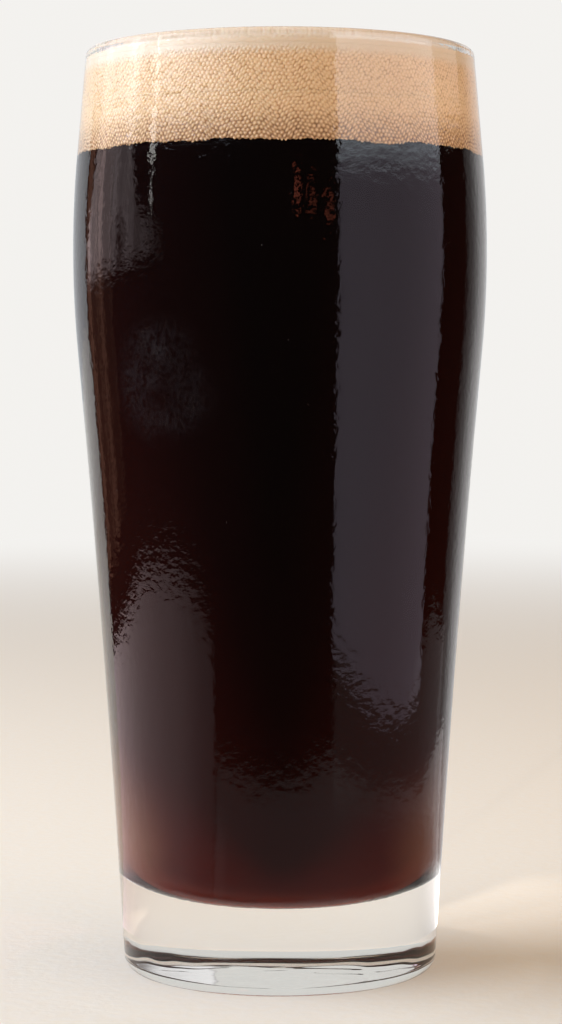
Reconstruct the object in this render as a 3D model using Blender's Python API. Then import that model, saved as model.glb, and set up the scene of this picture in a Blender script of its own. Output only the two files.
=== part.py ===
"""A pint of dark lager with a tan head, in a tapered half-litre tumbler of clear glass.

Three solids share one upright axis: the glass with its thick base, the lager that fills it
from the floor up, and the head of foam that crowns level with the lip. Units are metres, +Z
is up, and the origin is the middle of the ring that the glass stands on.
"""

import math

import bmesh
import bpy

MM = 0.001

# Outside of the glass
GLASS_HEIGHT = 170.0 * MM
HEEL_ROUND = 2.9 * MM  # rounding between the side and the underside
HEEL_RADIUS = 29.1 * MM  # radius where the heel's rounding meets the side
SHOULDER_HEIGHT = 133.0 * MM  # height of the widest place
SHOULDER_RADIUS = 38.25 * MM
SHOULDER_BEND = 200.0 * MM  # radius of the bend, seen from the side
SHOULDER_REACH = 18.0 * MM  # the bend covers this much height each way
BEND_LOW = SHOULDER_HEIGHT - SHOULDER_REACH
BEND_HIGH = SHOULDER_HEIGHT + SHOULDER_REACH

# Underside: a flat ring to stand on, round a shallow hollow
RING_OUTER = HEEL_RADIUS - HEEL_ROUND
RING_INNER = 22.0 * MM
HOLLOW_DEPTH = 1.2 * MM

# Inside of the glass
FLOOR_HEIGHT = 14.0 * MM
FLOOR_SWEEP = 22.0 * MM  # width of the curve from the floor up into the wall
FLOOR_RISE = 12.5 * MM  # height of that curve
FLOOR_CORNER = FLOOR_HEIGHT + FLOOR_RISE  # height where it meets the wall
WALL_LOW = 2.9 * MM  # wall thickness above the floor
WALL_HIGH = 1.8 * MM  # wall thickness below the lip
LIP_THICKNESS = 2.2 * MM  # the polished lip is a little thicker than the wall
LIP_START = 165.0 * MM  # the wall starts to thicken here
LIP_BASE = GLASS_HEIGHT - LIP_THICKNESS / 2  # the lip's half circle starts here

# Contents
GAP = 0.3 * MM  # clearance between pieces that touch
LAGER_LEVEL = 150.7 * MM  # where the lager ends and the head begins
HEAD_CONTACT = 167.3 * MM  # where the head's side leaves the glass
HEAD_EDGE = 5.0 * MM  # width of the head's rounded edge
HEAD_EDGE_RISE = 2.5 * MM  # height of that rounded edge
HEAD_TOP = 170.9 * MM  # middle of the crown
HEAD_LUMP = 0.25 * MM  # unevenness of the crown

ROUND_STEPS = 60
FLARE_STEPS = 5
BEND_STEPS = 7
HEAD_STEPS = 3
ARC_STEPS = 4
CROWN_RINGS = 6
WELD = 1e-6
SMOOTH_ANGLE = math.radians(35)


def outer_radius(z):
    """Radius of the outside at height z: a flare that steepens, a wide bend, a straight collar."""
    lean = SHOULDER_REACH / SHOULDER_BEND
    edge = SHOULDER_RADIUS - SHOULDER_REACH**2 / (2 * SHOULDER_BEND)
    if z > BEND_HIGH:
        return edge - lean * (z - BEND_HIGH)
    if z > BEND_LOW:
        return SHOULDER_RADIUS - (z - SHOULDER_HEIGHT) ** 2 / (2 * SHOULDER_BEND)
    rise = BEND_LOW - HEEL_ROUND
    below = BEND_LOW - z
    heel_lean = 2 * (edge - HEEL_RADIUS) / rise - lean
    return edge - lean * below + (lean - heel_lean) * below**2 / (2 * rise)


def inner_radius(z):
    """Radius of the inside at height z: the wall thins upwards, then thickens to the lip."""
    up = (z - FLOOR_CORNER) / (LIP_START - FLOOR_CORNER)
    wall = WALL_LOW + (WALL_HIGH - WALL_LOW) * min(1.0, up)
    into_lip = max(0.0, z - LIP_START) / (LIP_BASE - LIP_START)
    return outer_radius(z) - wall - (LIP_THICKNESS - WALL_HIGH) * into_lip**2


def spread(low, high, steps):
    """Evenly spaced values from low to high, both included."""
    return [low + (high - low) * i / steps for i in range(steps + 1)]


def arc(centre, radii, start, end, steps=ARC_STEPS):
    """Points of part of an ellipse in the (radius, height) plane. Angles are in degrees."""
    return [
        (centre[0] + radii[0] * math.cos(a), centre[1] + radii[1] * math.sin(a))
        for a in map(math.radians, spread(start, end, steps))
    ]


def bore(heights, gap=0.0):
    """Points up the inside of the glass at the given heights, drawn in by a clearance."""
    return [(inner_radius(z) - gap, z) for z in heights]


def floor_arc(gap=0.0):
    """The curve from the floor up into the wall, drawn in and lifted by a clearance."""
    centre = (inner_radius(FLOOR_CORNER) - FLOOR_SWEEP, FLOOR_CORNER)
    return arc(centre, (FLOOR_SWEEP - gap, FLOOR_RISE - gap), 270, 360, 2 * ARC_STEPS)


def side_heights(low, high):
    """Heights up a side: a few along the flare, closer together round the bend."""
    return spread(low, BEND_LOW, FLARE_STEPS)[:-1] + spread(BEND_LOW, high, BEND_STEPS)


LAGER_HEIGHTS = side_heights(FLOOR_CORNER, LAGER_LEVEL - GAP)
HEAD_HEIGHTS = spread(LAGER_LEVEL, HEAD_CONTACT, HEAD_STEPS)


def glass_profile():
    """Half section of the glass: across the underside, up the outside, down the inside."""
    half = LIP_THICKNESS / 2
    heel = arc((RING_OUTER, HEEL_ROUND), (HEEL_ROUND, HEEL_ROUND), 270, 360)
    outside = [(outer_radius(z), z) for z in side_heights(HEEL_ROUND, BEND_HIGH)]
    lip = arc((outer_radius(LIP_BASE) - half, LIP_BASE), (half, half), 0, 180, 2 * ARC_STEPS)
    return [
        (0.0, HOLLOW_DEPTH),
        (RING_INNER / 2, 0.75 * HOLLOW_DEPTH),
        (RING_INNER, 0.0),
        *heel[:-1],
        *outside,
        *lip,
        *reversed(bore(HEAD_HEIGHTS)),
        *reversed(bore(LAGER_HEIGHTS)[1:]),
        *reversed(floor_arc()),
        (0.0, FLOOR_HEIGHT),
    ]


def lager_profile():
    """Half section of the lager, from the middle of the floor up to its level."""
    side = bore(LAGER_HEIGHTS, GAP)
    return [(0.0, FLOOR_HEIGHT + GAP), *floor_arc(GAP), *side[1:], (0.0, side[-1][1])]


def crown_radius():
    """Radius where the head's rounded edge meets its crown."""
    return inner_radius(HEAD_CONTACT) - GAP - HEAD_EDGE


def head_profile():
    """Half section of the head: flat below, upright at the glass, rounded over to the crown."""
    edge_top = HEAD_CONTACT + HEAD_EDGE_RISE
    edge = arc((crown_radius(), HEAD_CONTACT), (HEAD_EDGE, HEAD_EDGE_RISE), 0, 90)
    crown = [
        (r, HEAD_TOP - (HEAD_TOP - edge_top) * (r / crown_radius()) ** 2)
        for r in spread(crown_radius(), 0.0, CROWN_RINGS)
    ]
    return [(0.0, LAGER_LEVEL), *bore(HEAD_HEIGHTS, GAP), *edge[1:], *crown[1:]]


def turned(profile):
    """A closed mesh turned round +Z from a half section whose two ends lie on the axis."""
    bm = bmesh.new()
    points = [bm.verts.new((r, 0.0, z)) for r, z in profile]
    edges = [bm.edges.new(pair) for pair in zip(points, points[1:])]
    bmesh.ops.spin(
        bm,
        geom=points + edges,
        cent=(0.0, 0.0, 0.0),
        axis=(0.0, 0.0, 1.0),
        angle=math.tau,
        steps=ROUND_STEPS,
    )
    bmesh.ops.remove_doubles(bm, verts=bm.verts, dist=WELD)
    bmesh.ops.recalc_face_normals(bm, faces=bm.faces)
    return bm


def lump(x, y):
    """Unevenness of the crown at a place, from three crossing swells, between -1 and 1."""
    return (
        math.sin(x / (7.1 * MM) + 0.4) * math.cos(y / (8.3 * MM) + 1.1)
        + math.sin((x + y) / (12.7 * MM) + 2.0)
        + math.cos((x - 1.6 * y) / (10.9 * MM))
    ) / 3


def uneven_crown(bm):
    """Moves the points of the crown up and down, less and less towards its rounded edge."""
    for vert in bm.verts:
        inwards = 1 - math.hypot(vert.co.x, vert.co.y) / crown_radius()
        if vert.co.z > HEAD_CONTACT and inwards > 0:
            share = min(1.0, 3 * inwards)
            vert.co.z += HEAD_LUMP * share * lump(vert.co.x, vert.co.y)


def finish(name, colour, roughness, clear=0.0):
    """A Principled material for one piece."""
    material = bpy.data.materials.new(name)
    material.use_nodes = True
    shader = material.node_tree.nodes["Principled BSDF"]
    shader.inputs["Base Color"].default_value = (*colour, 1.0)
    shader.inputs["Roughness"].default_value = roughness
    shader.inputs["Metallic"].default_value = 0.0
    shader.inputs["Transmission Weight"].default_value = clear
    return material


def place(name, bm, material):
    """Puts a mesh in the scene as one named object, shaded smooth but for its corners."""
    mesh = bpy.data.meshes.new(name)
    bm.to_mesh(mesh)
    bm.free()
    mesh.shade_smooth()
    mesh.set_sharp_from_angle(angle=SMOOTH_ANGLE)
    mesh.materials.append(material)
    bpy.context.scene.collection.objects.link(bpy.data.objects.new(name, mesh))


def main():
    """Clears the scene and builds the glass, the lager and the head."""
    for obj in list(bpy.data.objects):
        bpy.data.objects.remove(obj)
    place("glass", turned(glass_profile()), finish("clear_glass", (0.93, 0.95, 0.94), 0.02, 1.0))
    place("lager", turned(lager_profile()), finish("dark_lager", (0.030, 0.009, 0.005), 0.05))
    head = turned(head_profile())
    uneven_crown(head)
    place("head", head, finish("tan_foam", (0.70, 0.47, 0.28), 0.8))


main()
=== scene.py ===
"""The looks of a pint of dark lager: a clear glass, the lager in it and its tan head of foam.

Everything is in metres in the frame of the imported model: +Z is up, the glass stands on z = 0
with its axis through the origin, and the camera looks along +Y.
"""

import logging
import math
from dataclasses import dataclass, field
from enum import Enum
from typing import Any

import bpy
import numpy as np
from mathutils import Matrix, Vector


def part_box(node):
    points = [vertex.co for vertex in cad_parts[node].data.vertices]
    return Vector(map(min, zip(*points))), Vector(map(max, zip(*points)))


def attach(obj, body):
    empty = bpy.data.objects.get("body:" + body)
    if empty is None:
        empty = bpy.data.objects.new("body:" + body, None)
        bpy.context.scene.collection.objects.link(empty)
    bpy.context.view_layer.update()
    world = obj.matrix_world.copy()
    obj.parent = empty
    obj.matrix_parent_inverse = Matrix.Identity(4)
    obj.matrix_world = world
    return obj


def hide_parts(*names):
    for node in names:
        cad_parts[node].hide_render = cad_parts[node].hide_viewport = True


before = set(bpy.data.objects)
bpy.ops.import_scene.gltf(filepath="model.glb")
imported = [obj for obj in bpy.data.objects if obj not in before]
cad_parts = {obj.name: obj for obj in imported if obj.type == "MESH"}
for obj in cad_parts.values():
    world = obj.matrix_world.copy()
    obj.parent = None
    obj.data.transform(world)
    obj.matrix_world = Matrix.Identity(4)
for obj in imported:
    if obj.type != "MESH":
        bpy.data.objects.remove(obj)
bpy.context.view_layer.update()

MM = 0.001
LOG = logging.getLogger("pint")

Colour = tuple[float, float, float]
Place = tuple[float, float, float]
Range = tuple[float, float]
NOISE_RANGE: Range = (0.3, 0.7)


class Ray(Enum):
    """Kinds of light path that a shader can tell apart."""

    SHADOW = "Is Shadow Ray"
    DIFFUSE = "Is Diffuse Ray"
    CAMERA = "Is Camera Ray"
    GLOSSY = "Is Glossy Ray"
    TRANSMISSION = "Is Transmission Ray"


class Slot(Enum):
    """Material slots of the record."""

    GLASS = "clear_glass"
    LAGER = "dark_lager"
    FOAM = "tan_foam"


def smooth_step(low: float, high: float, x: np.ndarray) -> np.ndarray:
    """Rises from 0 at low to 1 at high along the cubic 3t^2 - 2t^3.

    Args:
        low: Where the step starts.
        high: Where it ends.
        x: Values to map.

    Returns:
        The mapped values, from 0 to 1.
    """
    t = np.clip((x - low) / (high - low), 0.0, 1.0)
    return t * t * (3.0 - 2.0 * t)


@dataclass(frozen=True)
class Section:
    """The half section of the glass: its radius outside and inside at any height."""

    height: float
    heel_round: float = 2.9 * MM
    heel_radius: float = 29.1 * MM
    shoulder_height: float = 133.0 * MM
    shoulder_radius: float = 38.25 * MM
    shoulder_bend: float = 200.0 * MM
    shoulder_reach: float = 18.0 * MM
    floor_height: float = 14.0 * MM
    floor_sweep: float = 22.0 * MM
    floor_rise: float = 12.5 * MM
    wall_low: float = 2.9 * MM
    wall_high: float = 1.8 * MM
    lip_thickness: float = 2.2 * MM
    lip_start: float = 165.0 * MM

    @property
    def floor_corner(self) -> float:
        """Height where the curve of the floor meets the wall."""
        return self.floor_height + self.floor_rise

    @property
    def lip_base(self) -> float:
        """Height where the half circle of the lip starts."""
        return self.height - self.lip_thickness / 2

    def outer(self, z: np.ndarray) -> np.ndarray:
        """Radius outside: a flare that steepens, then a parabolic bend, then a straight collar.

        Args:
            z: Heights.

        Returns:
            The radius at each height.
        """
        lean = self.shoulder_reach / self.shoulder_bend
        edge = self.shoulder_radius - self.shoulder_reach**2 / (2 * self.shoulder_bend)
        bend_low = self.shoulder_height - self.shoulder_reach
        bend_high = self.shoulder_height + self.shoulder_reach
        rise = bend_low - self.heel_round
        heel_lean = 2 * (edge - self.heel_radius) / rise - lean
        below = bend_low - z
        flare = edge - lean * below + (lean - heel_lean) * below**2 / (2 * rise)
        bend = self.shoulder_radius - (z - self.shoulder_height) ** 2 / (2 * self.shoulder_bend)
        collar = edge - lean * (z - bend_high)
        return np.select([z > bend_high, z > bend_low], [collar, bend], flare)

    def inner(self, z: np.ndarray) -> np.ndarray:
        """Radius inside: the outer radius less a wall that thins upwards and thickens to the lip.

        Args:
            z: Heights.

        Returns:
            The radius at each height.
        """
        up = np.clip((z - self.floor_corner) / (self.lip_start - self.floor_corner), None, 1.0)
        wall = self.wall_low + (self.wall_high - self.wall_low) * up
        into_lip = np.clip((z - self.lip_start) / (self.lip_base - self.lip_start), 0.0, None)
        return self.outer(z) - wall - (self.lip_thickness - self.wall_high) * into_lip**2


def arc(
    centre: tuple[float, float], radii: tuple[float, float], start: float, end: float, steps: int
) -> np.ndarray:
    """Points of part of an ellipse: centre + (a cos t, b sin t).

    Args:
        centre: Radius and height of the ellipse's middle.
        radii: Its half widths in radius and in height.
        start: First angle, in degrees.
        end: Last angle, in degrees.
        steps: Number of steps between them.

    Returns:
        An array of (radius, height) rows.
    """
    t = np.radians(np.linspace(start, end, steps + 1))
    return np.column_stack([centre[0] + radii[0] * np.cos(t), centre[1] + radii[1] * np.sin(t)])


@dataclass
class Shell:
    """Points and faces of one closed surface, with numbers that its shader can read."""

    points: np.ndarray
    quads: np.ndarray
    triangles: np.ndarray
    values: dict[str, np.ndarray] = field(default_factory=dict)

    def piece(self, name: str, material: bpy.types.Material) -> bpy.types.Object:
        """Puts the surface into a mesh object at the origin, shaded smooth.

        Args:
            name: Name of the object.
            material: Its material.

        Returns:
            The new object, linked to the scene.
        """
        mesh = bpy.data.meshes.new(name)
        corners = np.concatenate([self.quads.ravel(), self.triangles.ravel()])
        starts = np.concatenate(
            [
                4 * np.arange(len(self.quads)),
                4 * len(self.quads) + 3 * np.arange(len(self.triangles)),
            ]
        )
        mesh.vertices.add(len(self.points))
        mesh.vertices.foreach_set("co", self.points.astype(np.float32).ravel())
        mesh.loops.add(len(corners))
        mesh.loops.foreach_set("vertex_index", corners.astype(np.int32))
        mesh.polygons.add(len(starts))
        mesh.polygons.foreach_set("loop_start", starts.astype(np.int32))
        mesh.update(calc_edges=True)
        mesh.validate()
        mesh.shade_smooth()
        for key, value in self.values.items():
            if value.ndim == 1:
                attribute = mesh.attributes.new(key, "FLOAT", "POINT")
                attribute.data.foreach_set("value", value.astype(np.float32))
            else:
                attribute = mesh.attributes.new(key, "FLOAT_COLOR", "POINT")
                colours = np.column_stack([value, np.ones(len(value))])
                attribute.data.foreach_set("color", colours.astype(np.float32).ravel())
        mesh.materials.append(material)
        piece = bpy.data.objects.new(name, mesh)
        bpy.context.scene.collection.objects.link(piece)
        return piece


def wrapped_quads(rows: int, columns: int, first: int = 0) -> np.ndarray:
    """Faces between neighbouring rows of a grid whose last column joins its first.

    Args:
        rows: Number of rows.
        columns: Number of points in each row.
        first: Index of the grid's first point.

    Returns:
        An array with four point indices a row.
    """
    row, column = np.mgrid[0 : rows - 1, 0:columns]
    after = (column + 1) % columns
    quads = np.stack(
        [
            row * columns + column,
            row * columns + after,
            (row + 1) * columns + after,
            (row + 1) * columns + column,
        ],
        axis=-1,
    )
    return first + quads.reshape(-1, 4)


def open_quads(rows: int, columns: int) -> np.ndarray:
    """Faces between neighbouring rows of a grid with four free sides.

    Args:
        rows: Number of rows.
        columns: Number of points in each row.

    Returns:
        An array with four point indices a row.
    """
    index = np.arange(rows * columns).reshape(rows, columns)
    sides = [index[:-1, :-1], index[:-1, 1:], index[1:, 1:], index[1:, :-1]]
    return np.stack(sides, axis=-1).reshape(-1, 4)


def ringed(rings: np.ndarray, low_pole: float, high_pole: float) -> Shell:
    """A closed surface of rings about +Z, shut by a fan of triangles at each end.

    The rings follow the section with the solid on their left, so the faces point outwards.

    Args:
        rings: Points, as rows by columns by three.
        low_pole: Height of the point on the axis before the first ring.
        high_pole: Height of the point on the axis after the last ring.

    Returns:
        The surface.
    """
    rows, columns, _ = rings.shape
    poles = np.array([[0.0, 0.0, low_pole], [0.0, 0.0, high_pole]])
    points = np.concatenate([rings.reshape(-1, 3), poles])
    column = np.arange(columns)
    after = (column + 1) % columns
    last = (rows - 1) * columns
    low = np.full(columns, len(points) - 2)
    high = np.full(columns, len(points) - 1)
    fans = [
        np.column_stack([low, after, column]),
        np.column_stack([last + column, last + after, high]),
    ]
    return Shell(points, wrapped_quads(rows, columns), np.concatenate(fans))


def turned(profile: np.ndarray, segments: int) -> Shell:
    """A half section turned about +Z: (r, z) becomes (r cos t, r sin t, z).

    Args:
        profile: Rows of (radius, height), the first and last of them on the axis.
        segments: Number of steps round the axis.

    Returns:
        The surface.
    """
    t = np.linspace(0.0, math.tau, segments, endpoint=False)
    radius, height = profile[1:-1, 0, None], profile[1:-1, 1, None]
    rings = np.stack(
        [radius * np.cos(t), radius * np.sin(t), height + np.zeros_like(t)], axis=-1
    )
    return ringed(rings, profile[0, 1], profile[-1, 1])


@dataclass(frozen=True)
class Bubbles:
    """A sheet of packed bubbles: a jittered brick lattice with a dome over each of its points.

    All but the pitch and the seed are shares of the pitch: the domes' radius and how much it
    varies, the jitter of their places and the bend of their rows.
    """

    pitch: float
    jitter: float
    seed: int
    radius: float = 0.60
    spread: float = 0.12
    bend: float = 0.0

    def domes(self, along: np.ndarray, up: np.ndarray, around: float | None) -> np.ndarray:
        """Height of the bubbles at each place, from 0 in the creases to 1 at their tops.

        Each place takes the highest of the domes 1 - (d / rho)^2 about the nearest lattice
        points, with d its distance to the point and rho that bubble's own radius. On a sheet
        that repeats, slow swells bend the rows of the lattice.

        Args:
            along: First coordinate of each place.
            up: Second coordinate of each place.
            around: Length after which the first coordinate repeats, or None for an open sheet.

        Returns:
            The height at each place, in the shape of along.
        """
        random = np.random.default_rng(self.seed)
        row_step = self.pitch * math.sqrt(3) / 2
        if around is not None:
            turn = math.tau / around
            up = up + self.bend * self.pitch * (
                np.sin(23 * turn * along) + 0.6 * np.sin(41 * turn * along + 350 * up)
            )
        first_row = math.floor(up.min() / row_step) - 2
        rows = math.ceil(up.max() / row_step) + 3 - first_row
        if around is None:
            first_column = math.floor(along.min() / self.pitch) - 2
            columns = math.ceil(along.max() / self.pitch) + 3 - first_column
            column_step = self.pitch
        else:
            first_column = 0
            columns = round(around / self.pitch)
            column_step = around / columns
        shift = random.uniform(-self.jitter, self.jitter, (2, rows, columns)) * self.pitch
        size = self.pitch * (self.radius + self.spread * random.uniform(-1.0, 1.0, (rows, columns)))
        row = np.floor(up / row_step).astype(int)
        least = np.ones(np.broadcast(along, up).shape)
        for row_offset in (-1, 0, 1, 2):
            near_row = row + row_offset
            stagger = 0.5 * (near_row % 2)
            column = np.floor(along / column_step - stagger).astype(int)
            for column_offset in (-1, 0, 1, 2):
                near_column = column + column_offset
                i = near_row - first_row
                j = near_column - first_column if around is None else near_column % columns
                d_along = along - (near_column + stagger) * column_step - shift[0, i, j]
                d_up = up - near_row * row_step - shift[1, i, j]
                flatness = (d_along**2 + d_up**2) / size[i, j] ** 2
                least = np.minimum(least, flatness)
        return 1.0 - least


class Sheet:
    """A material's node tree, with short calls that add and join nodes."""

    def __init__(self, name: str) -> None:
        """Makes an empty material of this name."""
        self.material = bpy.data.materials.new(name)
        self.material.use_nodes = True
        self.tree = self.material.node_tree
        self.tree.nodes.clear()

    def node(
        self, kind: str, inputs: dict[str | int, Any] | None = None, **settings: Any
    ) -> bpy.types.Node:
        """Adds a node, with its settings and its inputs.

        Args:
            kind: Blender's name for the kind of node, without its first word ShaderNode.
            inputs: A value, or a socket to join, for each named or numbered input.
            settings: Properties of the node itself.

        Returns:
            The new node.
        """
        node = self.tree.nodes.new("ShaderNode" + kind)
        for key, value in settings.items():
            setattr(node, key, value)
        for key, value in (inputs or {}).items():
            if isinstance(value, bpy.types.NodeSocket):
                self.tree.links.new(value, node.inputs[key])
            else:
                node.inputs[key].default_value = value
        return node

    def place(self) -> bpy.types.NodeSocket:
        """The place on the piece, in its own metres."""
        return self.node("TexCoord").outputs["Object"]

    def noise(
        self, scale: float, detail: float = 2.0, stretch: Place = (1.0, 1.0, 1.0)
    ) -> bpy.types.NodeSocket:
        """Soft noise over the piece.

        Args:
            scale: Swells in each metre.
            detail: Finer octaves added to them.
            stretch: How much closer together the swells are along each axis.

        Returns:
            The noise, mostly within NOISE_RANGE.
        """
        mapping = self.node("Mapping", {"Vector": self.place(), "Scale": stretch})
        noise = self.node(
            "TexNoise", {"Vector": mapping.outputs[0], "Scale": scale, "Detail": detail}
        )
        return noise.outputs["Fac"]

    def spread(
        self, source: bpy.types.NodeSocket, low: float, high: float, to_low: float, to_high: float
    ) -> bpy.types.NodeSocket:
        """Maps low and high to two new values, smoothly and without going past them.

        Args:
            source: The socket to map.
            low: Value that becomes to_low.
            high: Value that becomes to_high.
            to_low: Result at low.
            to_high: Result at high.

        Returns:
            The mapped value.
        """
        node = self.node(
            "MapRange",
            {0: source, 1: low, 2: high, 3: to_low, 4: to_high},
            interpolation_type="SMOOTHSTEP",
        )
        return node.outputs[0]

    def math(self, operation: str, a: Any, b: Any) -> bpy.types.NodeSocket:
        """Works out one number from two.

        Args:
            operation: Blender's name for it.
            a: The first number or its socket.
            b: The second number or its socket.

        Returns:
            The result.
        """
        return self.node("Math", {0: a, 1: b}, operation=operation).outputs[0]

    def blend(
        self, share: bpy.types.NodeSocket, a: Any, b: Any, mode: str = "MIX"
    ) -> bpy.types.NodeSocket:
        """Mixes two colours.

        Args:
            share: How much of the second one.
            a: The first colour or its socket.
            b: The second colour or its socket.
            mode: Blender's name for the kind of mix.

        Returns:
            The mixed colour.
        """
        colours = [(*c, 1.0) if isinstance(c, tuple) else c for c in (a, b)]
        node = self.node(
            "Mix", {0: share, 6: colours[0], 7: colours[1]}, data_type="RGBA", blend_type=mode
        )
        return node.outputs[2]

    def bump(
        self,
        height: bpy.types.NodeSocket,
        depth: float,
        strength: bpy.types.NodeSocket | float = 1.0,
        normal: bpy.types.NodeSocket | None = None,
    ) -> bpy.types.NodeSocket:
        """A normal that follows a height.

        Args:
            height: The height, from 0 to 1.
            depth: What a height of 1 is, in metres.
            strength: Share of it that shows.
            normal: A normal to start from, if not the surface's own.

        Returns:
            The normal's socket.
        """
        inputs = {"Height": height, "Distance": depth, "Strength": strength}
        if normal is not None:
            inputs["Normal"] = normal
        return self.node("Bump", inputs).outputs[0]

    def finish(self, surface: bpy.types.NodeSocket) -> bpy.types.Material:
        """Joins the surface to the output and hands the material over."""
        self.node("OutputMaterial", {"Surface": surface})
        return self.material


@dataclass(frozen=True)
class ClearGlass:
    """Polished clear glass, faintly wavy, with a few smears, a hazy finger mark and specks.

    Broad waves lie under its base, and a fine grain starts above the base.
    """

    tint: Colour = (0.985, 0.992, 0.988)
    film: Colour = (0.8, 0.66, 0.58)
    refraction: float = 1.5
    smear_scale: float = 45.0
    smear_range: Range = (0.56, 0.72)
    smear_roughness: float = 0.05
    wave_pitch: float = 11.0 * MM
    wave_depth: float = 0.03 * MM
    grain_pitch: float = 1.5 * MM
    grain_depth: float = 0.040 * MM
    base_low: float = 12.0 * MM
    base_high: float = 26.0 * MM
    mark: Place = (-20.5 * MM, -30.0 * MM, 109.0 * MM)
    mark_heart: float = 2.6 * MM
    mark_size: float = 13.0 * MM
    mark_haze: float = 0.026
    patch_scale: float = 60.0
    patch_range: Range = (0.34, 0.6)
    print_scale: float = 1500.0
    print_range: Range = (0.34, 0.68)
    speck_pitch: float = 5.0 * MM
    speck_size: float = 0.16 * MM
    speck_haze: float = 0.06
    under_pitch: float = 8.0 * MM
    under_depth: float = 0.20 * MM
    under_top: float = 6.0 * MM
    under_end: float = 9.0 * MM

    def make(self) -> bpy.types.Material:
        """Builds the material; lamps and soft light pass straight through it.

        Returns:
            The material.
        """
        sheet = Sheet("clear_glass")
        waves = sheet.noise(1 / self.wave_pitch, 1.0, (1.0, 1.0, 0.45))
        grain = sheet.noise(1 / self.grain_pitch, 2.0)
        rolled = sheet.bump(waves, self.wave_depth)
        height = sheet.node("SeparateXYZ", {0: sheet.place()}).outputs["Z"]
        above = sheet.spread(height, self.base_low, self.base_high, 0.0, 1.0)
        smears = sheet.noise(self.smear_scale, 4.0, (1.0, 1.0, 0.5))
        smeared = sheet.spread(smears, *self.smear_range, 0.0, self.smear_roughness)
        rolled = sheet.bump(
            sheet.noise(1 / self.under_pitch, 1.0, (0.35, 1.0, 1.0)),
            self.under_depth,
            sheet.spread(height, self.under_top, self.under_end, 1.0, 0.0),
            rolled,
        )
        glass = sheet.node(
            "BsdfPrincipled",
            {
                "Base Color": (*self.tint, 1.0),
                "Roughness": smeared,
                "IOR": self.refraction,
                "Transmission Weight": 1.0,
                "Normal": sheet.bump(grain, self.grain_depth, above, rolled),
            },
        )
        film = sheet.node("BsdfDiffuse", {"Color": (*self.film, 1.0)})
        layers = {0: self.haze(sheet), 1: glass.outputs[0], 2: film.outputs[0]}
        surface = sheet.node("MixShader", layers).outputs[0]
        for ray in (Ray.DIFFUSE, Ray.SHADOW):
            path = sheet.node("LightPath").outputs[ray.value]
            through = sheet.node("BsdfTransparent", {"Color": (*self.tint, 1.0)}).outputs[0]
            surface = sheet.node("MixShader", {0: path, 1: surface, 2: through}).outputs[0]
        return sheet.finish(surface)

    def haze(self, sheet: Sheet) -> bpy.types.NodeSocket:
        """Works out how much film lies on the glass: the patchy finger mark and the specks.

        Args:
            sheet: The material's node tree.

        Returns:
            The film's share.
        """
        away = sheet.node(
            "VectorMath", {0: sheet.place(), 1: self.mark}, operation="DISTANCE"
        ).outputs["Value"]
        near = sheet.spread(away, self.mark_heart, self.mark_size, 1.0, 0.0)
        patches = sheet.noise(self.patch_scale, 3.0)
        patchy = sheet.spread(patches, *self.patch_range, 0.0, 1.0)
        prints = sheet.noise(self.print_scale, 3.0)
        printed = sheet.spread(prints, *self.print_range, 0.0, self.mark_haze)
        marked = sheet.math("MULTIPLY", sheet.math("MULTIPLY", near, patchy), printed)
        specks = sheet.node("TexVoronoi", {"Vector": sheet.place(), "Scale": 1 / self.speck_pitch})
        size = self.speck_size / self.speck_pitch
        dusty = sheet.spread(specks.outputs["Distance"], 0.5 * size, size, self.speck_haze, 0.0)
        return sheet.math("ADD", marked, dusty)


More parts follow.
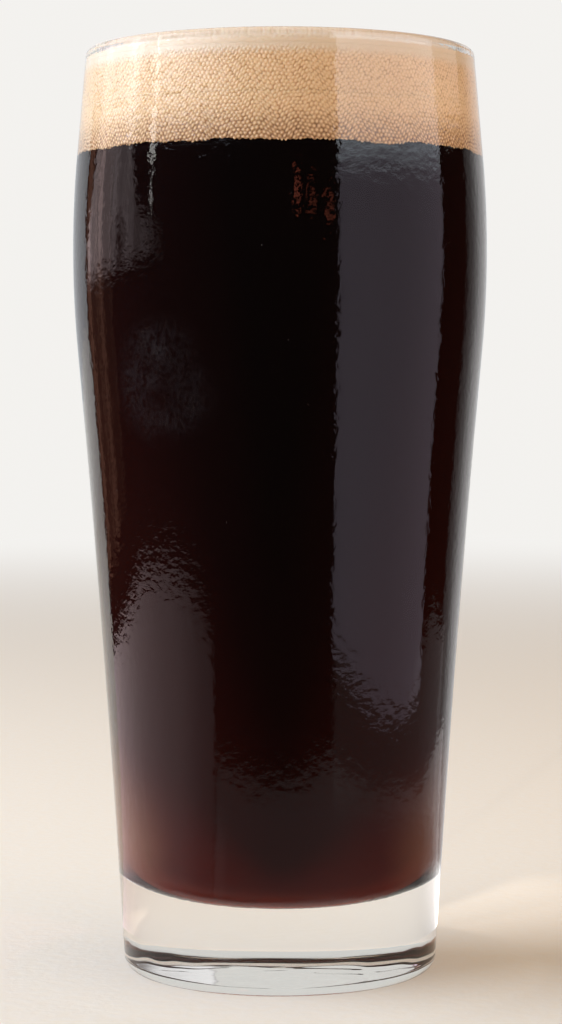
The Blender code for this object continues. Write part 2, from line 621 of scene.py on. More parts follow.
@dataclass(frozen=True)
class DarkLager:
    """Near-black lager with a painted red-brown glow, for light that shines through it where it
    thins out over the floor of the glass.

    The painted glow fades with height, over a way that grows towards the left and right flanks.
    Along the floor it ends in a painted bright line that turns to painted shade at the flanks,
    and the sides have a painted orange-brown glow, where the lager is thin.
    """

    section: Section
    deep: Colour = (0.0019, 0.0011, 0.0010)
    # Painted glow: colours for light shining through the lager, each with the height it fades over.
    painted_glows: tuple[tuple[float, Colour], ...] = (
        (90.0 * MM, (0.0058, 0.0013, 0.0010)),
        (40.0 * MM, (0.016, 0.0024, 0.0015)),
        (11.0 * MM, (0.055, 0.0050, 0.0025)),
    )
    # Painted glow just above the floor of the glass.
    low: Colour = (0.12, 0.014, 0.005)
    low_glow_height: float = 5.5 * MM
    # Painted bright line along the floor: a highlight and light shining through the lager there.
    seam_glow: Colour = (0.36, 0.050, 0.012)
    seam_glow_height: float = 1.8 * MM
    seam_glow_reach: Range = (9.0 * MM, 17.0 * MM)
    # Painted shade: the line along the floor turns near black towards the flanks.
    edge_shade_fade: Range = (0.32 * MM, 0.8 * MM)
    edge_shade_end: Range = (21.0 * MM, 26.0 * MM)
    # Painted orange-brown glow at the sides, for light shining through the thin lager there.
    amber_glow: Colour = (0.17, 0.056, 0.020)
    amber_glow_share: float = 0.8
    amber_glow_height: float = 22.0 * MM
    amber_glow_reach: Range = (17.0 * MM, 28.0 * MM)
    cloud: float = 0.5 * MM
    cloud_scale: float = 38.0
    flank_soft: float = 4.0 * MM
    flank_pitch: float = 9.0 * MM
    roughness: Range = (0.12, 0.2)
    refraction: float = 1.34
    shine: float = 0.02

    def make(self) -> bpy.types.Material:
        """Builds the material: near black, with painted glow and shade by height above the floor.

        Returns:
            The material.
        """
        sheet = Sheet("dark_lager")
        place = sheet.node("SeparateXYZ", {0: sheet.place()}).outputs
        height = place["Z"]
        noise = sheet.noise(self.cloud_scale, 2.0, (1.0, 1.0, 0.6))
        cloud = sheet.spread(noise, *NOISE_RANGE, -self.cloud, self.cloud)
        above = sheet.math("SUBTRACT", height, self.section.floor_height)
        side = sheet.node("CombineXYZ", {0: place["X"], 1: self.flank_soft})
        side = sheet.node("VectorMath", {0: side.outputs[0]}, operation="LENGTH").outputs["Value"]
        flank = sheet.math("SUBTRACT", side, self.flank_soft)
        flank = sheet.math("DIVIDE", flank, self.flank_pitch)
        cloudy = sheet.math("ADD", above, cloud)
        level = sheet.math("DIVIDE", cloudy, sheet.math("ADD", flank, 1.0))
        # Painted glow of light through the lager, fading with height, and more slowly at the
        # flanks.
        colour: Any = self.deep
        for reach, tone in self.painted_glows:
            share = sheet.spread(level, 0.0, reach, 1.0, 0.0)
            colour = sheet.blend(share, colour, tone)
        over_floor = sheet.math("SUBTRACT", above, self.floor_line(sheet, side))
        outwards = sheet.spread(side, *self.seam_glow_reach, 0.0, 1.0)
        inwards = sheet.math("SUBTRACT", 1.0, outwards)
        # Painted glow just over the floor.
        share = sheet.spread(over_floor, 0.0, self.low_glow_height, 1.0, 0.0)
        colour = sheet.blend(share, colour, self.low)
        # Painted bright line along the floor, away from the flanks.
        share = sheet.spread(over_floor, 0.0, self.seam_glow_height, 1.0, 0.0)
        colour = sheet.blend(sheet.math("MULTIPLY", share, inwards), colour, self.seam_glow)
        # Painted orange-brown glow at the sides, fading with height.
        thin = sheet.spread(side, *self.amber_glow_reach, 0.0, 1.0)
        share = sheet.spread(over_floor, 0.0, self.amber_glow_height, self.amber_glow_share, 0.0)
        colour = sheet.blend(sheet.math("MULTIPLY", share, thin), colour, self.amber_glow)
        # Painted shade: back to near black along the floor at the flanks.
        share = sheet.spread(over_floor, *self.edge_shade_fade, 1.0, 0.0)
        share = sheet.math("MULTIPLY", share, sheet.spread(side, *self.edge_shade_end, 1.0, 0.0))
        colour = sheet.blend(sheet.math("MULTIPLY", share, outwards), colour, self.deep)
        body = sheet.node(
            "BsdfPrincipled",
            {
                "Base Color": colour,
                "Roughness": sheet.spread(noise, *NOISE_RANGE, *self.roughness),
                "IOR": self.refraction,
                "Specular IOR Level": self.shine,
            },
        )
        return sheet.finish(body.outputs[0])

    def floor_line(self, sheet: Sheet, side: bpy.types.NodeSocket) -> bpy.types.NodeSocket:
        """Works out how far the floor has curved up at a distance from the middle.

        Args:
            sheet: The material's node tree.
            side: The distance, in metres.

        Returns:
            The height above the middle of the floor: the rise times one less the square root
            of one less the squared share of the curve's width.
        """
        section = self.section
        start = float(section.inner(np.array(section.floor_corner))) - section.floor_sweep
        reach = sheet.math("DIVIDE", sheet.math("SUBTRACT", side, start), section.floor_sweep)
        reach = sheet.math("MINIMUM", sheet.math("MAXIMUM", reach, 0.0), 1.0)
        drop = sheet.math("SUBTRACT", 1.0, sheet.math("MULTIPLY", reach, reach))
        drop = sheet.math("SUBTRACT", 1.0, sheet.math("SQRT", drop, 0.0))
        return sheet.math("MULTIPLY", drop, section.floor_rise)


@dataclass(frozen=True)
class TanFoam:
    """Tan foam: pale domes with painted highlights, creases darker partly by their own tone and
    partly by painted shade, and a fine grain of smaller bubbles.

    Just above the lager it is wet and darker, with white painted highlights and deeper painted
    shade in its creases, and its top has one even tone.
    """

    # Painted highlights on the tops of the domes.
    painted_highlight: Colour = (1.0, 0.72, 0.46)
    painted_highlight_share: float = 0.30
    painted_highlight_range: Range = (0.66, 1.0)
    dome: Colour = (0.90, 0.535, 0.265)
    dome_start: float = 0.70
    # Creases: partly their own darker tone, partly painted shade.
    crease_and_shade: Colour = (0.54, 0.26, 0.10)
    cloud_scale: float = 70.0
    cloud_share: float = 0.22
    wet: Colour = (0.63, 0.55, 0.49)
    # Deeper painted shade in the creases just above the lager.
    wet_crease_and_shade: Colour = (0.30, 0.21, 0.155)
    # White painted highlights on the domes just above the lager.
    wet_painted_highlight: Colour = (1.0, 1.0, 1.0)
    wet_painted_highlight_share: float = 0.8
    top: Colour = (0.80, 0.54, 0.335)
    top_share: float = 0.85
    top_edge: Range = (164.8 * MM, 166.8 * MM)
    level: float = 150.7 * MM
    wet_height: float = 7.5 * MM
    grain_pitch: float = 0.33 * MM
    grain_depth: float = 0.02 * MM
    softness: float = 0.12
    glow: Colour = (1.0, 0.55, 0.28)
    glow_depth: float = 1.6 * MM
    roughness: Range = (0.30, 0.45)

    def make(self) -> bpy.types.Material:
        """Builds the material, which reads the bubbles' height from the piece.

        Returns:
            The material.
        """
        sheet = Sheet("tan_foam")
        bubble = sheet.node("Attribute", attribute_name="bubble").outputs["Fac"]
        clouds = sheet.noise(self.cloud_scale, 3.0)
        # Painted shade: creases darker than the domes' tops, partly their own tone.
        lit = sheet.spread(bubble, 0.0, self.dome_start, 0.0, 1.0)
        colour = sheet.blend(lit, self.crease_and_shade, self.dome)
        # Painted highlights on the tops of the domes.
        highlight_shares = sheet.spread(bubble, *self.painted_highlight_range, 0.0, self.painted_highlight_share)
        colour = sheet.blend(highlight_shares, colour, self.painted_highlight)
        shade = sheet.spread(clouds, *NOISE_RANGE, 0.0, self.cloud_share)
        colour = sheet.blend(shade, colour, self.crease_and_shade)
        height = sheet.node("SeparateXYZ", {0: sheet.place()}).outputs["Z"]
        wet = sheet.spread(height, self.level, self.level + self.wet_height, 1.0, 0.0)
        # Just above the lager: deeper painted shade in the creases.
        wet_with_painted_light = sheet.blend(lit, self.wet_crease_and_shade, self.wet)
        # White painted highlights on the domes just above the lager.
        highlight_shares = sheet.spread(bubble, self.dome_start, 1.0, 0.0, self.wet_painted_highlight_share)
        wet_with_painted_light = sheet.blend(highlight_shares, wet_with_painted_light, self.wet_painted_highlight)
        colour = sheet.blend(wet, colour, wet_with_painted_light, "MULTIPLY")
        high = sheet.spread(height, *self.top_edge, 0.0, self.top_share)
        colour = sheet.blend(high, colour, self.top)
        grain = sheet.node(
            "TexVoronoi",
            {"Vector": sheet.place(), "Scale": 1 / self.grain_pitch},
            feature="SMOOTH_F1",
        ).outputs["Distance"]
        body = sheet.node(
            "BsdfPrincipled",
            {
                "Base Color": colour,
                "Roughness": sheet.spread(grain, 0.1, 0.6, *self.roughness),
                "Specular IOR Level": 0.5,
                "Subsurface Weight": self.softness,
                "Subsurface Radius": self.glow,
                "Subsurface Scale": self.glow_depth,
                "Normal": sheet.bump(grain, -self.grain_depth),
            },
        )
        return sheet.finish(body.outputs[0])


@dataclass(frozen=True)
class PaleFloor:
    """A plain pale floor that fades into the backdrop's brightness far from the glass."""

    near: Colour = (0.97, 0.75, 0.525)
    far: Colour = (0.90, 0.885, 0.86)
    fade: Range = (0.25, 1.6)
    grain_scale: float = 420.0
    grain_share: float = 0.08
    grain_depth: float = 0.1 * MM
    roughness: float = 0.7
    shine: float = 0.2

    def make(self) -> bpy.types.Material:
        """Builds the material.

        Returns:
            The material.
        """
        sheet = Sheet("pale_floor")
        grain = sheet.noise(self.grain_scale, 3.0)
        share = sheet.spread(grain, *NOISE_RANGE, 0.0, self.grain_share)
        colour = sheet.blend(share, self.near, self.far)
        body = sheet.node(
            "BsdfPrincipled",
            {
                "Base Color": colour,
                "Roughness": self.roughness,
                "Specular IOR Level": self.shine,
                "Normal": sheet.bump(grain, self.grain_depth),
            },
        )
        light = sheet.node("Emission", {"Color": (*self.far, 1.0), "Strength": 1.0})
        distance = sheet.node("VectorMath", {0: sheet.place()}, operation="LENGTH")
        share = sheet.spread(distance.outputs["Value"], *self.fade, 0.0, 1.0)
        mix = sheet.node("MixShader", {0: share, 1: body.outputs[0], 2: light.outputs[0]})
        return sheet.finish(mix.outputs[0])


def dress(piece: bpy.types.Object, node: str) -> bpy.types.Object:
    """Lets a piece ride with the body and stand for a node.

    Args:
        piece: The finished piece.
        node: The node that it replaces.

    Returns:
        The piece.
    """
    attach(piece, "root")
    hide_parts(node)
    LOG.info("%s: %d faces for %s", piece.name, len(piece.data.polygons), node)
    return piece


@dataclass
class Tumbler:
    """The glass, turned from its section, with a flat ring to stand on."""

    section: Section
    ring_inner: float = 22.0 * MM
    hollow_depth: float = 1.2 * MM
    hollow_lump: float = 0.18 * MM
    hollow_roll: float = 0.30 * MM
    segments: int = 224
    side_steps: int = 110
    arc_steps: int = 14
    bowl_steps: int = 36
    hollow_steps: int = 40

    def profile(self) -> np.ndarray:
        """Half section: across the underside, up the outside, over the lip and down the inside.

        Returns:
            Rows of (radius, height).
        """
        s = self.section
        hollow = np.linspace(0.0, self.ring_inner, self.hollow_steps + 1)
        underside = np.column_stack(
            [hollow, self.hollow_depth * (1 - (hollow / self.ring_inner) ** 2)]
        )
        ring_outer = s.heel_radius - s.heel_round
        heel = arc((ring_outer, s.heel_round), (s.heel_round,) * 2, 270, 360, self.arc_steps)
        z_out = np.linspace(s.heel_round, s.lip_base, self.side_steps)
        half = s.lip_thickness / 2
        lip_middle = float(s.outer(np.array(s.lip_base))) - half
        lip = arc((lip_middle, s.lip_base), (half, half), 0, 180, 2 * self.arc_steps)
        z_in = np.linspace(s.lip_base, s.floor_corner, self.side_steps)
        bowl_middle = float(s.inner(np.array(s.floor_corner))) - s.floor_sweep
        bowl_radii = (s.floor_sweep, s.floor_rise)
        bowl = arc((bowl_middle, s.floor_corner), bowl_radii, 360, 270, self.bowl_steps)
        return np.concatenate(
            [
                underside,
                heel[:-1],
                np.column_stack([s.outer(z_out), z_out])[:-1],
                lip[:-1],
                np.column_stack([s.inner(z_in), z_in])[:-1],
                bowl,
                [[0.5 * bowl_middle, s.floor_height], [0.0, s.floor_height]],
            ]
        )

    def build(self, material: bpy.types.Material) -> bpy.types.Object:
        """Makes the glass in its finish.

        Args:
            material: The glass's finish.

        Returns:
            The piece.
        """
        shell = turned(self.profile(), self.segments)
        self.roll_hollow(shell.points)
        return dress(shell.piece("beer_glass", material), "glass")

    def roll_hollow(self, points: np.ndarray) -> None:
        """Makes the hollow of the underside uneven, as pressed glass is.

        Three crossing swells of 7 to 9 mm and two of 20 to 25 mm move its points up and down,
        less towards the ring.

        Args:
            points: The glass's points, changed in place.
        """
        reach = np.hypot(points[:, 0], points[:, 1])
        hollow = (points[:, 2] < 1.5 * self.hollow_depth) & (reach < self.ring_inner)
        x, y = points[hollow, 0] / MM, points[hollow, 1] / MM
        swell = np.sin(x / 1.15 + 0.8 * np.sin(y / 2.1)) + np.sin(y / 1.4 + x / 2.6 + 1.0)
        swell += np.cos((x - y) / 1.9 + 0.5)
        roll = np.sin(x / 3.1 + 1.2 * np.sin(y / 5.3)) + np.sin((x + 0.6 * y) / 4.7 + 2.2)
        calm = smooth_step(0.0, 0.3, 1 - reach[hollow] / self.ring_inner)
        points[hollow, 2] += calm * (self.hollow_lump * swell / 3 + self.hollow_roll * roll / 2)


@dataclass
class Lager:
    """The body of lager, which reaches just into the wall and the floor of the glass."""

    section: Section
    level: float
    reach: float = 0.02 * MM
    segments: int = 180
    side_steps: int = 90
    bowl_steps: int = 36

    def profile(self) -> np.ndarray:
        """Half section: out along the floor's bowl, up the wall and in at the level.

        Returns:
            Rows of (radius, height).
        """
        s = self.section
        floor = s.floor_height - self.reach
        bowl_middle = float(s.inner(np.array(s.floor_corner))) - s.floor_sweep
        bowl_radii = (s.floor_sweep + self.reach, s.floor_rise + self.reach)
        bowl = arc((bowl_middle, s.floor_corner), bowl_radii, 270, 360, self.bowl_steps)
        z = np.linspace(s.floor_corner, self.level, self.side_steps)
        side = np.column_stack([s.inner(z) + self.reach, z])
        inwards = [[0.97 * side[-1, 0], self.level], [0.0, self.level]]
        return np.concatenate([[[0.0, floor]], bowl, side[1:], inwards])

    def build(self, material: bpy.types.Material) -> bpy.types.Object:
        """Makes the lager in its finish.

        Args:
            material: The lager's finish.

        Returns:
            The piece.
        """
        shell = turned(self.profile(), self.segments)
        return dress(shell.piece("lager_body", material), "lager")


@dataclass
class Head:
    """The head of foam: a side of packed bubbles against the glass, and a froth on top.

    Its dips have rows of azimuth in degrees, and of depth and half width in millimetres.
    """

    section: Section
    level: float
    contact: float
    top: float
    reach: float = 0.05 * MM
    relief: float = 0.25 * MM
    fade: float = 1.2 * MM
    hem: float = 0.2 * MM
    inset: float = 1.5 * MM
    edge_width: float = 5.0 * MM
    edge_rise: float = 2.5 * MM
    edge_share: float = 0.84
    lump: float = 0.25 * MM
    froth_relief: float = 0.12 * MM
    froth_reach: float = 36.0 * MM
    skirt: float = 0.8 * MM
    hidden: float = 0.6
    side_calm: float = 0.75
    froth_calm: float = 0.7
    columns: int = 1540
    rows: int = 61
    bands: int = 2
    crown_points: int = 311
    side_bubbles: Bubbles = Bubbles(0.78 * MM, jitter=0.085, seed=11, spread=0.04, bend=0.8)
    froth: Bubbles = Bubbles(pitch=0.72 * MM, jitter=0.33, seed=23, spread=0.2)
    dips: tuple[tuple[float, float, float], ...] = (
        (31.0, 0.55, 3.2),
        (-24.0, 0.25, 2.5),
        (74.0, 0.35, 3.0),
        (150.0, 0.45, 3.5),
        (-110.0, 0.40, 4.0),
    )

    def lower_edge(self, t: np.ndarray) -> np.ndarray:
        """How far the foam hangs down into the lager round the wall.

        Two slow swells, a row of round lobes of uneven depth and a few wider dips, each a bell
        curve exp(-(s / w)^2) of the way s from its middle.

        Args:
            t: Angles from the front, in radians.

        Returns:
            The depth at each angle.
        """
        radius = float(self.section.inner(np.array(self.level)))
        swell = 0.10 * MM * (2 + np.sin(5 * t + 0.6) + np.sin(13 * t + 2.0))
        lobes = np.abs(np.sin(142 * t + 0.7 * np.sin(19 * t) + 0.5 * np.sin(53 * t)))
        uneven = 0.22 * MM * (1 + 0.5 * np.sin(31 * t + 1.0) + 0.5 * np.sin(83 * t))
        depth = 0.05 * MM + swell + uneven * lobes
        for azimuth, size, width in self.dips:
            way = (t - math.radians(azimuth) + math.pi) % math.tau - math.pi
            depth += size * MM * np.exp(-((way * radius / (width * MM)) ** 2))
        return depth

    def side(self, band: int) -> Shell:
        """The foam against the wall: rings whose radius is the bore's plus the bubbles' height.

        Args:
            band: Which of the equal bands of height it is, from 0 at the lager.

        Returns:
            The surface, with the bubbles' height as its value.
        """
        s = self.section
        t = np.linspace(0.0, math.tau, self.columns, endpoint=False)
        azimuth = t + math.pi / 2
        share = np.linspace(band / self.bands, (band + 1) / self.bands, self.rows)[:, None]
        low = self.level - self.lower_edge(azimuth)
        z = low + share * (self.contact - low)
        way = float(s.inner(np.array(self.level))) * math.tau
        dome = self.side_bubbles.domes(way * t / math.tau + np.zeros_like(z), z, way)
        fade = smooth_step(0.0, self.fade, self.contact - z)
        radius = s.inner(z) + self.reach + self.relief * dome * fade
        radius -= 0.5 * self.relief * (1 - smooth_step(0.0, self.hem, z - low))
        rings = np.stack([radius * np.cos(t), radius * np.sin(t), z], axis=-1)
        inner = s.inner(np.array(self.contact)) - self.inset
        ends = (max(self.level, z[0].mean()), z[-1].mean())
        closing = [
            np.stack([inner * np.cos(t), inner * np.sin(t), np.full_like(t, height)], axis=-1)
            for height in ends
        ]
        rings = np.concatenate([closing[:1], rings, closing[1:]])
        shell = ringed(rings, *ends)
        flat = np.full((1, self.columns), self.hidden)
        calmed = self.side_calm + (dome - self.side_calm) * fade
        value = np.concatenate([flat, calmed, flat]).ravel()
        shell.values["bubble"] = np.append(value, [self.hidden, self.hidden])
        return shell

    def crown(self) -> Shell:
        """The froth on top: a square grid drawn onto a disc, rounded over at the wall.

        A point (a, b) of the square goes to the disc by the concentric map: the larger of |a|
        and |b| becomes the share of the way out, and their ratio the angle. The way out runs
        along a parabola to the rounded edge, and then down a quarter of an ellipse.

        Returns:
            The surface, with the bubbles' height as its value.
        """
        n = self.crown_points
        b, a = np.meshgrid(*[np.linspace(-1.0, 1.0, n)] * 2, indexing="ij")
        flatter = np.abs(a) > np.abs(b)
        out = np.where(flatter, a, b)
        safe = np.where(out == 0, 1.0, out)
        quarter = math.pi / 4
        turn = np.where(flatter, quarter * b / safe, 2 * quarter - quarter * a / safe)
        x, y = out * np.cos(turn), out * np.sin(turn)
        share = np.hypot(x, y)
        unit = np.stack([x, y], axis=-1) / np.where(share == 0, 1.0, share)[..., None]
        rim = float(self.section.inner(np.array(self.contact))) + self.reach
        flat = rim - self.edge_width
        edge_top = self.contact + self.edge_rise
        past = (share - self.edge_share) / (1 - self.edge_share)
        bend = np.clip(past, 0.0, 1.0) * math.pi / 2
        inner = np.clip(share / self.edge_share, 0.0, 1.0)
        radius = flat * inner + self.edge_width * np.sin(bend)
        height = self.top - (self.top - edge_top) * inner**2
        rounded = self.contact + self.edge_rise * np.cos(bend)
        height = np.where(share > self.edge_share, rounded, height)
        lump_x, lump_y = 1000 * radius * unit[..., 0], 1000 * radius * unit[..., 1]
        lumps = (
            np.sin(lump_x / 7.1 + 0.4) * np.cos(lump_y / 8.3 + 1.1)
            + np.sin((lump_x + lump_y) / 12.7 + 2.0)
            + np.cos((lump_x - 1.6 * lump_y) / 10.9)
        ) / 3
        calm = smooth_step(0.0, 0.3, 1 - inner)
        height += self.lump * calm * lumps
        dome = self.froth.domes(self.froth_reach * x, self.froth_reach * y, None)
        fade = smooth_step(0.0, 0.06, 1 - share)
        relief = self.froth_relief * dome * fade
        radius = radius + relief * np.sin(bend)
        height = height + relief * np.cos(bend)
        top = np.stack([radius * unit[..., 0], radius * unit[..., 1], height], axis=-1)
        index = np.arange(n * n).reshape(n, n)
        quads = open_quads(n, n)
        border = np.concatenate(
            [index[0, :-1], index[:-1, -1], index[-1, :0:-1], index[:0:-1, 0]]
        )
        points = top.reshape(-1, 3)
        skirt = points[border] - [0.0, 0.0, self.skirt]
        first = len(points)
        around = len(border)
        k = np.arange(around)
        after = (k + 1) % around
        skirt_quads = np.column_stack([border, first + k, first + after, border[after]])
        pole = np.full(around, first + around)
        fan = np.column_stack([first + after, first + k, pole])
        points = np.concatenate([points, skirt, [[0.0, 0.0, skirt[0, 2]]]])
        calm = smooth_step(0.05, 0.25, 1 - share)
        calmed = self.froth_calm + (dome - self.froth_calm) * calm
        value = np.append(calmed.ravel(), np.full(around + 1, self.hidden))
        return Shell(points, np.concatenate([quads, skirt_quads]), fan, {"bubble": value})

    def build(self, material: bpy.types.Material) -> list[bpy.types.Object]:
        """Makes the bands of the side and the crown in their finish.

        Args:
            material: The foam's finish.

        Returns:
            The pieces.
        """
        shells = {f"foam_side_{band}": self.side(band) for band in range(self.bands)}
        shells["foam_crown"] = self.crown()
        return [
            dress(shell.piece(name, material), "head") for name, shell in shells.items()
        ]


@dataclass(frozen=True)
class Softbox:
    """A flat lamp that faces the glass, known by where it shows and how bright it looks."""

    name: str
    azimuth: float
    elevation: float
    distance: float
    size: tuple[float, float]
    brightness: float
    tint: Colour = (1.0, 1.0, 1.0)
    reflects: bool = False

    def build(self, target: np.ndarray) -> bpy.types.Object:
        """Makes the lamp. Its power is four times brightness times area.

        Args:
            target: The point that it faces.

        Returns:
            The lamp.
        """
        a, e = math.radians(self.azimuth), math.radians(self.elevation)
        way = np.array([math.sin(a) * math.cos(e), -math.cos(a) * math.cos(e), math.sin(e)])
        data = bpy.data.lights.new(self.name, "AREA")
        data.shape = "RECTANGLE"
        data.size, data.size_y = self.size
        data.energy = 4 * self.brightness * self.size[0] * self.size[1]
        data.color = self.tint
        lamp = bpy.data.objects.new(self.name, data)
        lamp.location = target + self.distance * way
        lamp.rotation_euler = (math.pi / 2 - e, 0.0, a)
        lamp.visible_camera = False
        lamp.visible_transmission = False
        lamp.visible_glossy = self.reflects
        bpy.context.scene.collection.objects.link(lamp)
        return lamp


@dataclass(frozen=True)
class Gleam:
    """A bright area of the room, or with a negative tint a shaded one.

    Its outline has rows of azimuth, near edge, far edge and strength. Azimuths are in degrees
    and edges in metres from the axis, along the floor and then up the wall.
    """

    tint: Colour
    rows: tuple[tuple[float, float, float, float], ...]
    side_blur: float = 0.6
    end_blur: float = 0.012
    stripes: float = 0.0

    def light(self, azimuth: np.ndarray, way: np.ndarray) -> np.ndarray:
        """Brightness of the area at each place of the room.

        The rows are joined by straight lines, and the sides and ends are softened. Stripes are
        (1 + sin(1.3 a + 2 sin 0.41 a)) (1 + sin(0.47 a)) / 4 of the azimuth a in degrees.

        Args:
            azimuth: Azimuths from the front, in degrees, to the right.
            way: Distances from the axis along floor and wall.

        Returns:
            Colours, with one more axis than azimuth.
        """
        corner, near, far, strength = np.array(self.rows).T
        inside = smooth_step(corner[0] - self.side_blur, corner[0] + self.side_blur, azimuth)
        inside *= 1 - smooth_step(corner[-1] - self.side_blur, corner[-1] + self.side_blur, azimuth)
        low, high = np.interp(azimuth, corner, near), np.interp(azimuth, corner, far)
        inside *= smooth_step(low - self.end_blur, low + self.end_blur, way)
        inside *= 1 - smooth_step(high - self.end_blur, high + self.end_blur, way)
        wave = (1 + np.sin(1.3 * azimuth + 2 * np.sin(0.41 * azimuth))) * (
            1 + np.sin(0.47 * azimuth)
        )
        inside *= 1 - self.stripes * (1 - wave / 4)
        return (inside * np.interp(azimuth, corner, strength))[..., None] * np.array(self.tint)


@dataclass
class Room:
    """What the glass mirrors: a bowl round it that reflections alone see, mostly dark.

    Where shaded areas would leave less than a set share of the dark, that share is kept.
    """

    first_azimuth: float = -134.0
    last_azimuth: float = 165.0
    near: float = 0.05
    radius: float = 1.0
    height: float = 1.1
    columns: int = 1209
    rows: int = 211
    lift: float = 0.4 * MM
    dark: Colour = (0.020, 0.008, 0.006)
    least: float = 0.3
    gleams: tuple[Gleam, ...] = (
        # Table at the left
        Gleam(
            (1.18, 0.95, 0.97),
            (
                (-137, 0.0, 0.43, 1.0), (-112, 0.0, 0.43, 0.95), (-92, 0.0, 0.47, 0.74),
                (-65, 0.0, 0.42, 0.50), (-50, 0.0, 0.36, 0.27), (-41, 0.0, 0.30, 0.20),
            ),
            end_blur=0.03,
        ),
        # Table in front and at the right
        Gleam(
            (1.0, 0.97, 0.98),
            (
                (-40, 0.0, 0.190, 0.20), (-22, 0.0, 0.170, 0.19), (-8, 0.0, 0.163, 0.19),
                (14, 0.0, 0.170, 0.20), (31, 0.0, 0.190, 0.22), (40, 0.0, 0.175, 0.22),
                (65, 0.0, 0.165, 0.18), (105, 0.0, 0.180, 0.24), (137, 0.0, 0.300, 0.60),
            ),
            end_blur=0.008,
        ),
        # Tall window at the right
        Gleam(
            (0.66, 0.58, 0.70),
            (
                (31.8, 0.290, 2.2, 1.0), (45, 0.262, 2.2, 1.0), (65, 0.236, 2.2, 0.92),
                (86, 0.250, 2.2, 0.95), (99, 0.290, 2.2, 0.95),
            ),
        ),
        # Top of that window, over the foam
        Gleam(
            (1.7, 2.0, 2.15),
            ((31.8, 1.38, 2.2, 1.0), (60, 1.37, 2.2, 1.0), (99, 1.34, 2.2, 1.0)),
            end_blur=0.06,
        ),
        # Bright room behind, at the glass's right edge
        Gleam(
            (1.0, 1.0, 1.0),
            (
                (124, 0.0, 2.2, 0.12), (130, 0.0, 2.2, 0.20), (133, 0.0, 2.2, 0.28),
                (144, 0.0, 2.2, 0.70), (165, 0.0, 2.2, 0.80),
            ),
            side_blur=1.5,
        ),
        # Bright strip along the right of the heel
        Gleam(
            (1.0, 0.97, 0.94),
            ((100, 0.0, 0.10, 0.0), (122, 0.0, 0.105, 0.9), (150, 0.0, 0.11, 2.0)),
            side_blur=2.0,
        ),
        # Brown streaks at the left edge
        Gleam(
            (0.62, 0.30, 0.20),
            ((-136, 0.62, 2.2, 0.6), (-118, 0.62, 2.2, 0.7), (-104, 0.70, 1.2, 0.2)),
            side_blur=1.0,
            stripes=0.8,
        ),
        # Low window at the left, drawn out like a tent
        Gleam(
            (1.0, 0.84, 0.86),
            (
                (-131, 1.160, 1.19, 1.5), (-126, 1.150, 1.26, 1.5), (-119, 1.155, 1.42, 1.3),
                (-118, 1.155, 2.2, 1.25), (-104, 1.155, 2.2, 1.1), (-93, 1.160, 2.2, 1.05),
                (-91, 1.160, 1.40, 0.95), (-84, 1.165, 1.26, 0.72), (-66, 1.180, 1.205, 0.25),
            ),
            side_blur=1.0,
            end_blur=0.02,
            stripes=0.50,
        ),
        # Shade in the middle of that window
        Gleam(
            (-1.0, -0.84, -0.86),
            ((-106, 1.19, 1.21, 0.2), (-98, 1.17, 1.230, 0.50), (-91, 1.18, 1.22, 0.3)),
            side_blur=4.0,
            end_blur=0.03,
        ),
        # Dim area under the right window
        Gleam(
            (1.0, 0.92, 0.92),
            (
                (33, 0.15, 0.290, 0.13), (50, 0.15, 0.255, 0.13), (65, 0.15, 0.236, 0.14),
                (86, 0.15, 0.250, 0.15), (99, 0.15, 0.36, 0.16), (110, 0.15, 0.45, 0.20),
                (128, 0.15, 0.45, 0.24),
            ),
            side_blur=1.5,
            end_blur=0.02,
        ),
        # Patch of table left of the middle
        Gleam((1.0, 0.97, 0.98), ((-41, 0.0, 0.15, 0.12), (-33, 0.0, 0.13, 0.07)), 1.0, 0.02),
        # Veil over the foam at the right
        Gleam(
            (1.0, 1.0, 1.0),
            ((99, 1.36, 2.2, 1.1), (113, 1.35, 2.2, 1.0), (125, 1.34, 2.2, 0.8)),
        ),
        # Veils over the foam at the left
        Gleam(
            (1.0, 0.96, 1.22),
            ((-134, 1.34, 2.2, 0.8), (-110, 1.36, 2.2, 1.2), (-84, 1.40, 2.2, 1.8)),
            side_blur=2.0,
        ),
        Gleam(
            (1.0, 1.05, 1.10),
            ((-99, 1.37, 2.2, 0.4), (-92, 1.37, 2.2, 2.2), (-86, 1.38, 2.2, 0.5)),
            side_blur=2.0,
        ),
        Gleam(
            (1.0, 1.03, 1.18),
            (
                (-84, 1.41, 2.2, 1.8), (-68, 1.42, 2.2, 3.2), (-46, 1.43, 2.2, 1.6),
                (-22, 1.44, 2.2, 0.3),
            ),
            side_blur=2.0,
            end_blur=0.025,
        ),
        # Narrow bright streak and its tail
        Gleam((1.0, 0.98, 0.94), ((-76, 1.35, 2.2, 5.0), (-73.5, 1.335, 2.2, 5.0)), 0.9),
        Gleam((1.0, 0.98, 0.94), ((-74.9, 1.255, 1.30, 5.0), (-73.7, 1.25, 1.3, 5.0)), 0.6, 0.01),
        # Red sparks in the lager below the foam
        Gleam((0.8, 0.20, 0.12), ((8, 1.27, 1.345, 1.6), (10.5, 1.27, 1.34, 1.6)), 0.5, 0.01),
        Gleam((0.8, 0.20, 0.12), ((15.5, 1.27, 1.31, 0.9), (18.5, 1.27, 1.32, 0.9)), 0.8, 0.01),
        Gleam((0.8, 0.20, 0.12), ((24.5, 1.245, 1.285, 1.1), (27.5, 1.24, 1.29, 1.1)), 0.8, 0.01),
    )

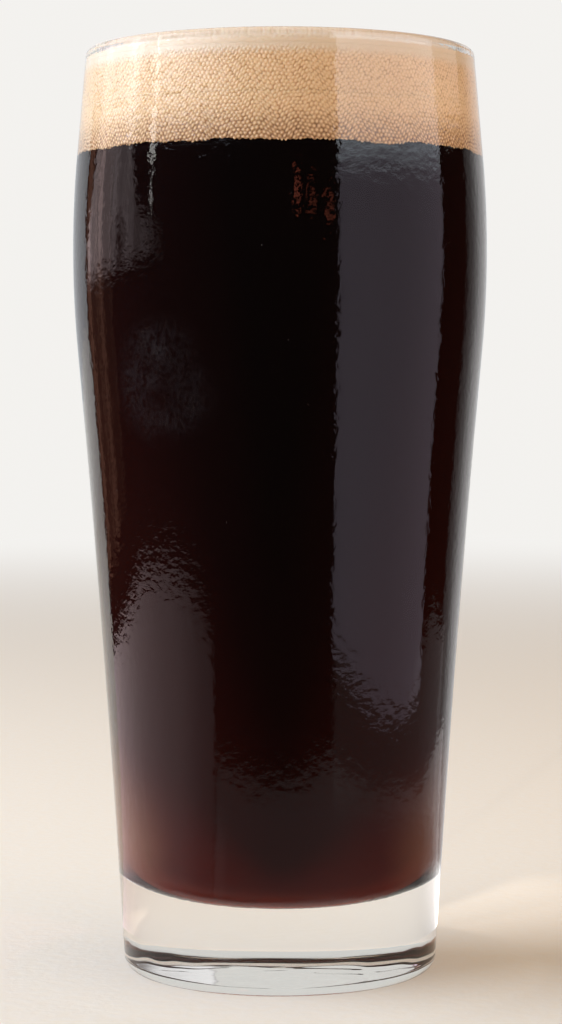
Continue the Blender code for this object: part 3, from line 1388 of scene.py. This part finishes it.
    def build(self) -> bpy.types.Object:
        """Makes the bowl: a floor from near the glass out to the radius, and a wall.

        Its light shows only to paths that a surface has mirrored. The others pass through.

        Returns:
            The bowl.
        """
        azimuth, way = np.meshgrid(
            np.linspace(self.first_azimuth, self.last_azimuth, self.columns),
            np.linspace(self.near, self.radius + self.height, self.rows),
            indexing="ij",
        )
        turn = np.radians(azimuth)
        reach = np.minimum(way, self.radius)
        height = self.lift + np.maximum(way - self.radius, 0.0)
        points = np.stack([reach * np.sin(turn), -reach * np.cos(turn), height], axis=-1)
        shine = np.array(self.dark) + sum(gleam.light(azimuth, way) for gleam in self.gleams)
        shine = np.maximum(shine, self.least * np.array(self.dark))
        sheet = Sheet("room")
        colour = sheet.node("Attribute", attribute_name="shine").outputs["Color"]
        light = sheet.node("Emission", {"Color": colour})
        mirrored = sheet.math("GREATER_THAN", sheet.node("LightPath").outputs["Glossy Depth"], 0.5)
        unseen = sheet.node("BsdfTransparent")
        light = sheet.node("MixShader", {0: mirrored, 1: unseen.outputs[0], 2: light.outputs[0]})
        shell = Shell(
            points.reshape(-1, 3),
            open_quads(self.columns, self.rows),
            np.zeros((0, 3), int),
            {"shine": shine.reshape(-1, 3)},
        )
        room = shell.piece("room", sheet.finish(light.outputs[0]))
        room.visible_camera = False
        room.visible_diffuse = False
        room.visible_shadow = False
        return room


@dataclass
class Studio:
    """A pale floor, soft lamps, the room that reflections see, and the camera."""

    floor_half: float = 6.0
    backdrop: Colour = (0.90, 0.885, 0.86)
    mirrored: Colour = (0.68, 0.70, 0.73)
    through: Colour = (0.67, 0.66, 0.63)
    ambient: Colour = (0.30, 0.27, 0.24)
    target: Place = (0.0, 0.0, 0.10)
    camera_distance: float = 0.5
    camera_height: float = 0.1051
    camera_pitch: float = 2.3
    focal_pixels: float = 2689.0
    frame_width: float = 562.0
    frame_height: float = 1024.0
    axis_pixel: float = 280.0
    film: float = 36.0
    lamps: tuple[Softbox, ...] = (
        Softbox("window_right", 68.5, 18.0, 0.85, (1.30, 0.85), 0.66, (1.0, 0.96, 0.92)),
        Softbox("window_left", -82.0, 25.0, 0.90, (1.15, 0.95), 4.80, (0.48, 0.70, 1.06)),
        Softbox("ceiling", 0.0, 89.9, 1.10, (0.90, 0.90), 0.80, (1.0, 0.95, 0.88), True),
    )

    def floor(self) -> bpy.types.Object:
        """Makes the floor, a wide square at z = 0.

        Returns:
            The floor.
        """
        half = self.floor_half
        points = half * np.array([[-1, -1, 0], [1, -1, 0], [1, 1, 0], [-1, 1, 0]], float)
        shell = Shell(points, np.array([[0, 1, 2, 3]]), np.zeros((0, 3), int))
        floor = shell.piece("floor", PaleFloor().make())
        return floor

    def world(self) -> None:
        """Makes the backdrop: pale where it is seen, dimmer in reflections and as a light."""
        world = bpy.data.worlds.new("backdrop")
        world.use_nodes = True
        tree = world.node_tree
        tree.nodes.clear()
        path = tree.nodes.new("ShaderNodeLightPath")
        colour: Any = (*self.ambient, 1.0)
        for ray, seen in (
            (Ray.GLOSSY, self.mirrored),
            (Ray.TRANSMISSION, self.through),
            (Ray.CAMERA, self.backdrop),
        ):
            mix = tree.nodes.new("ShaderNodeMix")
            mix.data_type = "RGBA"
            tree.links.new(path.outputs[ray.value], mix.inputs[0])
            if isinstance(colour, tuple):
                mix.inputs[6].default_value = colour
            else:
                tree.links.new(colour, mix.inputs[6])
            mix.inputs[7].default_value = (*seen, 1.0)
            colour = mix.outputs[2]
        background = tree.nodes.new("ShaderNodeBackground")
        output = tree.nodes.new("ShaderNodeOutputWorld")
        tree.links.new(colour, background.inputs["Color"])
        tree.links.new(background.outputs[0], output.inputs[0])
        bpy.context.scene.world = world

    def camera(self) -> bpy.types.Object:
        """Makes the camera, level with the upper half of the glass and pitched down a little.

        Returns:
            The camera.
        """
        data = bpy.data.cameras.new("camera")
        data.sensor_width = self.film
        data.lens = self.film * self.focal_pixels / self.frame_height
        data.shift_x = (self.frame_width / 2 - self.axis_pixel) / self.frame_height
        data.clip_start = 0.01
        camera = bpy.data.objects.new("camera", data)
        camera.location = (0.0, -self.camera_distance, self.camera_height)
        camera.rotation_euler = (math.radians(90 - self.camera_pitch), 0.0, 0.0)
        bpy.context.scene.collection.objects.link(camera)
        bpy.context.scene.camera = camera
        return camera

    def build(self) -> None:
        """Makes the floor, the room, the backdrop, the lamps and the camera."""
        self.floor()
        Room().build()
        self.world()
        for lamp in self.lamps:
            lamp.build(np.array(self.target))
        self.camera()
        scene = bpy.context.scene
        scene.view_settings.view_transform = "Standard"
        scene.cycles.use_denoising = True


def main() -> None:
    """Builds the studio and the three pieces."""
    logging.basicConfig(level=logging.INFO, format="%(name)s: %(message)s")
    section = Section(height=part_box("glass")[1].z)
    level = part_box("head")[0].z
    Studio().build()
    Tumbler(section).build(ClearGlass().make())
    Lager(section, level=level + 0.3 * MM).build(DarkLager(section).make())
    head = Head(section, level=level + 0.3 * MM, contact=167.3 * MM, top=170.9 * MM)
    head.build(TanFoam().make())


if __name__ == "__main__":
    main()
